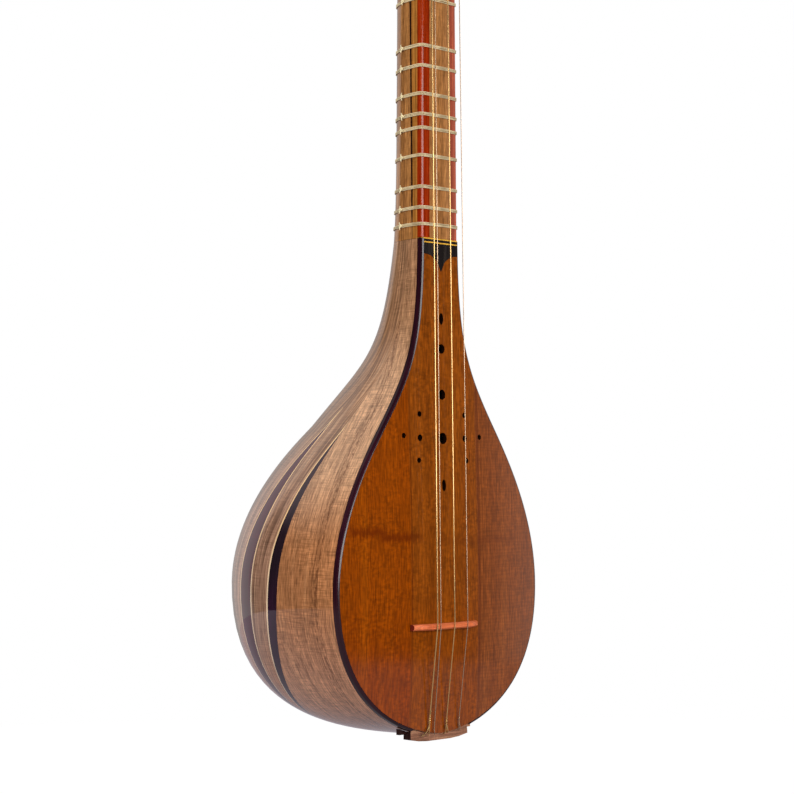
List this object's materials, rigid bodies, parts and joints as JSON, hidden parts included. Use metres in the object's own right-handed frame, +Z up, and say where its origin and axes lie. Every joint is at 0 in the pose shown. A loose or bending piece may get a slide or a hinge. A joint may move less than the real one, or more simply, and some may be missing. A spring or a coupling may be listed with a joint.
{
  "type": "setar lute",
  "caption": "Long necked lute with a pear-shaped ribbed bowl, flat arched soundboard, tied sliding frets, wire strings, loose bridge and turning wooden pegs, hung upright by its neck.",
  "frame": {"origin": "on the neck's centre plane at the front of the fingerboard, a little above the nut, where a hanger's fork holds the neck under the head", "axes": "+X to the right across the soundboard seen from the front, +Y from the strings back into the bowl, +Z up along the neck towards the head"},
  "size_m": [0.155, 0.1813, 0.839],
  "materials": {
    "walnut": "clear gloss varnish over brown walnut",
    "neck_walnut": "clear gloss varnish over lighter walnut",
    "dark_wood": "clear gloss varnish over near black wood",
    "binding_wood": "gloss varnish over dark reddish black wood",
    "soundboard": "satin varnish over reddish brown mulberry",
    "soundboard_edge": "satin varnish over reddish brown mulberry",
    "padauk": "gloss varnish over red padauk",
    "black_inlay": "black inlay under satin varnish",
    "yellow_inlay": "yellow and black laminated strip",
    "bridge_wood": "bare polished boxwood, reddish",
    "holder_wood": "bare polished pale brown wood",
    "bone": "polished bone",
    "gut": "dry gut cord",
    "spruce": "bare spruce",
    "brass_wire": "drawn brass wire",
    "steel_wire": "drawn plain steel wire"
  },
  "bodies": {
    "setar": {"rib_side_left": "walnut", "rib_narrow_left": "walnut", "rib_back_left": "walnut", "rib_dark_front_left": "dark_wood", "rib_dark_back_left": "dark_wood", "binding_left": "binding_wood", "soundboard_left": "soundboard_edge", "fingerboard_edge_left": "padauk", "rib_side_right": "walnut", "rib_narrow_right": "walnut", "rib_back_right": "walnut", "rib_dark_front_right": "dark_wood", "rib_dark_back_right": "dark_wood", "binding_right": "binding_wood", "soundboard_right": "soundboard_edge", "fingerboard_edge_right": "padauk", "rib_back_centre": "walnut", "soundboard_centre": "soundboard", "joint_inlay": "black_inlay", "joint_purfling": "yellow_inlay", "neck": "neck_walnut", "head": "neck_walnut", "fingerboard_centre": "walnut", "nut": "bone", "tail_block": "spruce", "string_holder": "holder_wood", "string_bass": "brass_wire", "string_second": "brass_wire", "string_third": "steel_wire", "string_first": "steel_wire"},
    "fret_01": {"fret_01": "gut"},
    "fret_02": {"fret_02": "gut"},
    "fret_03": {"fret_03": "gut"},
    "fret_04": {"fret_04": "gut"},
    "fret_05": {"fret_05": "gut"},
    "fret_06": {"fret_06": "gut"},
    "fret_07": {"fret_07": "gut"},
    "fret_08": {"fret_08": "gut"},
    "fret_09": {"fret_09": "gut"},
    "fret_10": {"fret_10": "gut"},
    "fret_11": {"fret_11": "gut"},
    "fret_12": {"fret_12": "gut"},
    "fret_13": {"fret_13": "gut"},
    "fret_14": {"fret_14": "gut"},
    "fret_15": {"fret_15": "gut"},
    "fret_16": {"fret_16": "gut"},
    "fret_17": {"fret_17": "gut"},
    "fret_18": {"fret_18": "gut"},
    "fret_19": {"fret_19": "gut"},
    "fret_20": {"fret_20": "gut"},
    "fret_21": {"fret_21": "gut"},
    "fret_22": {"fret_22": "gut"},
    "fret_23": {"fret_23": "gut"},
    "fret_24": {"fret_24": "gut"},
    "fret_25": {"fret_25": "gut"},
    "bridge": {"bridge": "bridge_wood"},
    "peg_front_1": {"peg_front_1": "walnut"},
    "peg_front_2": {"peg_front_2": "walnut"},
    "peg_side_1": {"peg_side_1": "walnut"},
    "peg_side_2": {"peg_side_2": "walnut"}
  },
  "joints": [
    {"name": "fret_01_slide", "type": "slide", "parent": "setar", "child": "fret_01", "axis": [0, 0, 1], "range_m": [-0.005, 0.005]},
    {"name": "fret_02_slide", "type": "slide", "parent": "setar", "child": "fret_02", "axis": [0, 0, 1], "range_m": [-0.005, 0.005]},
    {"name": "fret_03_slide", "type": "slide", "parent": "setar", "child": "fret_03", "axis": [0, 0, 1], "range_m": [-0.005, 0.005]},
    {"name": "fret_04_slide", "type": "slide", "parent": "setar", "child": "fret_04", "axis": [0, 0, 1], "range_m": [-0.005, 0.005]},
    {"name": "fret_05_slide", "type": "slide", "parent": "setar", "child": "fret_05", "axis": [0, 0, 1], "range_m": [-0.005, 0.005]},
    {"name": "fret_06_slide", "type": "slide", "parent": "setar", "child": "fret_06", "axis": [0, 0, 1], "range_m": [-0.005, 0.005]},
    {"name": "fret_07_slide", "type": "slide", "parent": "setar", "child": "fret_07", "axis": [0, 0, 1], "range_m": [-0.005, 0.005]},
    {"name": "fret_08_slide", "type": "slide", "parent": "setar", "child": "fret_08", "axis": [0, 0, 1], "range_m": [-0.005, 0.005]},
    {"name": "fret_09_slide", "type": "slide", "parent": "setar", "child": "fret_09", "axis": [0, 0, 1], "range_m": [-0.005, 0.005]},
    {"name": "fret_10_slide", "type": "slide", "parent": "setar", "child": "fret_10", "axis": [0, 0, 1], "range_m": [-0.005, 0.005]},
    {"name": "fret_11_slide", "type": "slide", "parent": "setar", "child": "fret_11", "axis": [0, 0, 1], "range_m": [-0.00481, 0.005]},
    {"name": "fret_12_slide", "type": "slide", "parent": "setar", "child": "fret_12", "axis": [0, 0, 1], "range_m": [-0.00464, 0.00481]},
    {"name": "fret_13_slide", "type": "slide", "parent": "setar", "child": "fret_13", "axis": [0, 0, 1], "range_m": [-0.005, 0.00464]},
    {"name": "fret_14_slide", "type": "slide", "parent": "setar", "child": "fret_14", "axis": [0, 0, 1], "range_m": [-0.00416, 0.005]},
    {"name": "fret_15_slide", "type": "slide", "parent": "setar", "child": "fret_15", "axis": [0, 0, 1], "range_m": [-0.005, 0.00416]},
    {"name": "fret_16_slide", "type": "slide", "parent": "setar", "child": "fret_16", "axis": [0, 0, 1], "range_m": [-0.005, 0.005]},
    {"name": "fret_17_slide", "type": "slide", "parent": "setar", "child": "fret_17", "axis": [0, 0, 1], "range_m": [-0.00425, 0.005]},
    {"name": "fret_18_slide", "type": "slide", "parent": "setar", "child": "fret_18", "axis": [0, 0, 1], "range_m": [-0.005, 0.00425]},
    {"name": "fret_19_slide", "type": "slide", "parent": "setar", "child": "fret_19", "axis": [0, 0, 1], "range_m": [-0.00426, 0.005]},
    {"name": "fret_20_slide", "type": "slide", "parent": "setar", "child": "fret_20", "axis": [0, 0, 1], "range_m": [-0.00254, 0.00426]},
    {"name": "fret_21_slide", "type": "slide", "parent": "setar", "child": "fret_21", "axis": [0, 0, 1], "range_m": [-0.005, 0.00254]},
    {"name": "fret_22_slide", "type": "slide", "parent": "setar", "child": "fret_22", "axis": [0, 0, 1], "range_m": [-0.005, 0.005]},
    {"name": "fret_23_slide", "type": "slide", "parent": "setar", "child": "fret_23", "axis": [0, 0, 1], "range_m": [-0.00433, 0.005]},
    {"name": "fret_24_slide", "type": "slide", "parent": "setar", "child": "fret_24", "axis": [0, 0, 1], "range_m": [-0.00322, 0.00433]},
    {"name": "fret_25_slide", "type": "slide", "parent": "setar", "child": "fret_25", "axis": [0, 0, 1], "range_m": [-0.00272, 0.00322]},
    {"name": "bridge_slide", "type": "slide", "parent": "setar", "child": "bridge", "axis": [0, 0, 1], "range_m": [-0.001, 0.008]},
    {"name": "peg_front_1_turn", "type": "hinge", "parent": "setar", "child": "peg_front_1", "pos_m": [0.00552, 0, 0.03183], "axis": [0, -1, 0], "continuous": true},
    {"name": "peg_front_2_turn", "type": "hinge", "parent": "setar", "child": "peg_front_2", "pos_m": [-0.0036, 0, 0.06991], "axis": [0, -1, 0], "continuous": true},
    {"name": "peg_side_1_turn", "type": "hinge", "parent": "setar", "child": "peg_side_1", "pos_m": [0, 0.01265, 0.04975], "axis": [-1, 0, 0], "continuous": true},
    {"name": "peg_side_2_turn", "type": "hinge", "parent": "setar", "child": "peg_side_2", "pos_m": [0, 0.01265, 0.08783], "axis": [-1, 0, 0], "continuous": true}
  ]
}
